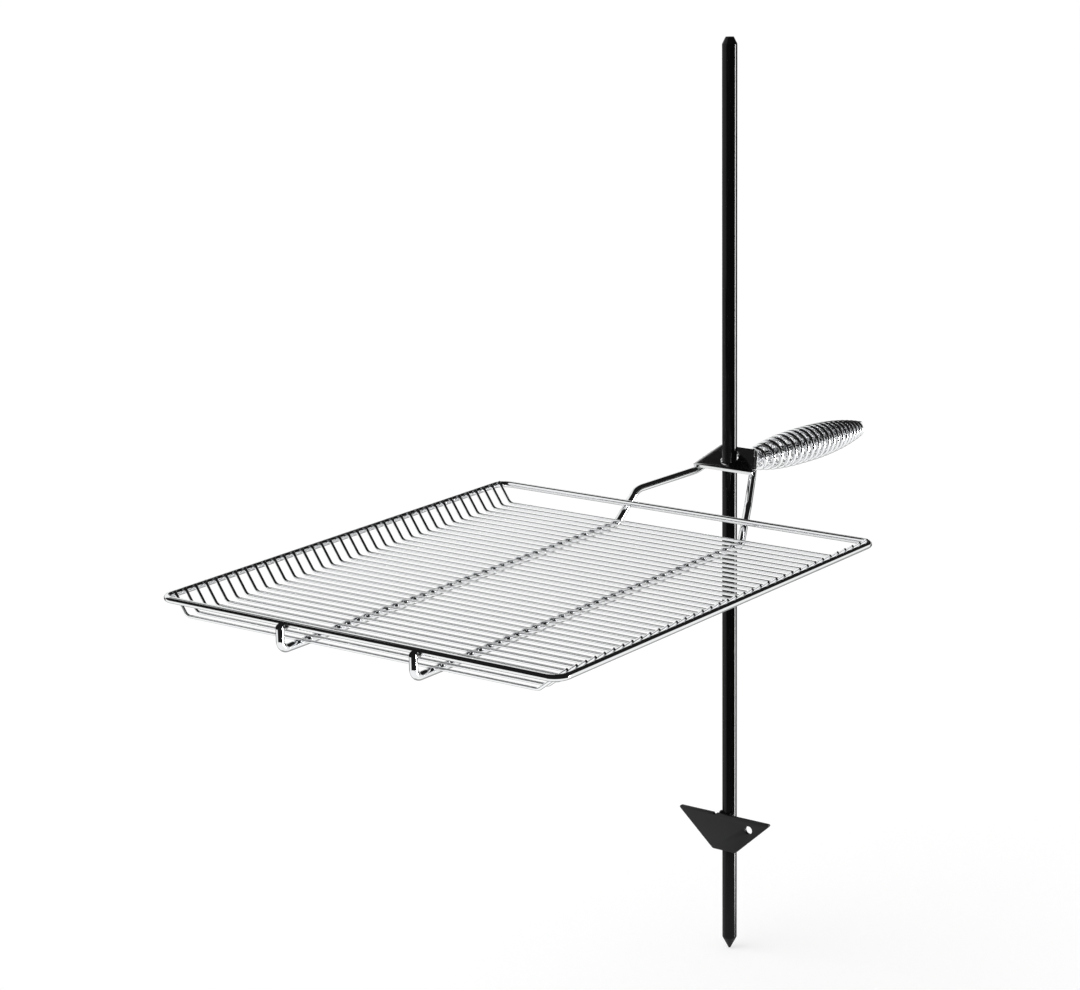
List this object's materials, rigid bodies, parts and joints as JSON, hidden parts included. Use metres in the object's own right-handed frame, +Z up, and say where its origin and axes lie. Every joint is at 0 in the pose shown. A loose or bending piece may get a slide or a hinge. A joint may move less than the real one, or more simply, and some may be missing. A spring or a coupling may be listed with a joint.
{
  "type": "campfire grill",
  "caption": "Stake-mounted campfire grill: a round pole with a foot plate carries a wire grate that slides and swings on it, with a coil handle behind.",
  "frame": {"origin": "on the pole's axis, level with the lower edge of the foot plate", "axes": "+Z up along the pole, -Y from the pole to the front of the grate, X across the grate"},
  "size_m": [0.356, 0.6978, 0.76],
  "materials": {
    "pole_paint": "glossy black coating",
    "plate_paint": "satin black coating",
    "painted_weld": "black coating over a weld bead",
    "ring_steel": "turned steel",
    "polished_plate": "mirror chrome sheet",
    "bare_weld": "rough weld bead under thin plating",
    "rod_chrome": "chrome plated bar",
    "rim_chrome": "chrome plated bar",
    "wire_chrome": "chrome plated wire",
    "coil_chrome": "chrome plated spring wire"
  },
  "bodies": {
    "stake": {"pole": "pole_paint", "foot_plate": "plate_paint", "foot_weld_left": "painted_weld", "foot_weld_right": "painted_weld"},
    "slider": {"guide_ring": "ring_steel"},
    "grill": {"bracket_plate": "polished_plate", "bracket_weld_left": "bare_weld", "bracket_weld_right": "bare_weld", "support_rod_left": "rod_chrome", "support_rod_right": "rod_chrome", "hook_weld_left": "bare_weld", "hook_weld_right": "bare_weld", "rim": "rim_chrome", "handle_coil": "coil_chrome", "cross_wire_01": "wire_chrome", "cross_wire_02": "wire_chrome", "cross_wire_03": "wire_chrome", "cross_wire_04": "wire_chrome", "cross_wire_05": "wire_chrome", "cross_wire_06": "wire_chrome", "cross_wire_07": "wire_chrome", "cross_wire_08": "wire_chrome", "cross_wire_09": "wire_chrome", "cross_wire_10": "wire_chrome", "cross_wire_11": "wire_chrome", "cross_wire_12": "wire_chrome", "cross_wire_13": "wire_chrome", "cross_wire_14": "wire_chrome", "cross_wire_15": "wire_chrome", "cross_wire_16": "wire_chrome", "cross_wire_17": "wire_chrome", "cross_wire_18": "wire_chrome", "cross_wire_19": "wire_chrome", "cross_wire_20": "wire_chrome", "cross_wire_21": "wire_chrome", "cross_wire_22": "wire_chrome", "cross_wire_23": "wire_chrome", "cross_wire_24": "wire_chrome", "cross_wire_25": "wire_chrome", "cross_wire_26": "wire_chrome", "cross_wire_27": "wire_chrome", "cross_wire_28": "wire_chrome", "cross_wire_29": "wire_chrome", "cross_wire_30": "wire_chrome", "cross_wire_31": "wire_chrome", "cross_wire_32": "wire_chrome", "cross_wire_33": "wire_chrome", "cross_wire_34": "wire_chrome", "cross_wire_35": "wire_chrome", "cross_wire_36": "wire_chrome", "cross_wire_37": "wire_chrome"}
  },
  "joints": [
    {"name": "height_slide", "type": "slide", "parent": "stake", "child": "slider", "axis": [0, 0, 1], "range_m": [-0.24, 0.32]},
    {"name": "swing", "type": "hinge", "parent": "slider", "child": "grill", "pos_m": [0, 0, 0.332], "axis": [0, 0, 1], "continuous": true}
  ]
}
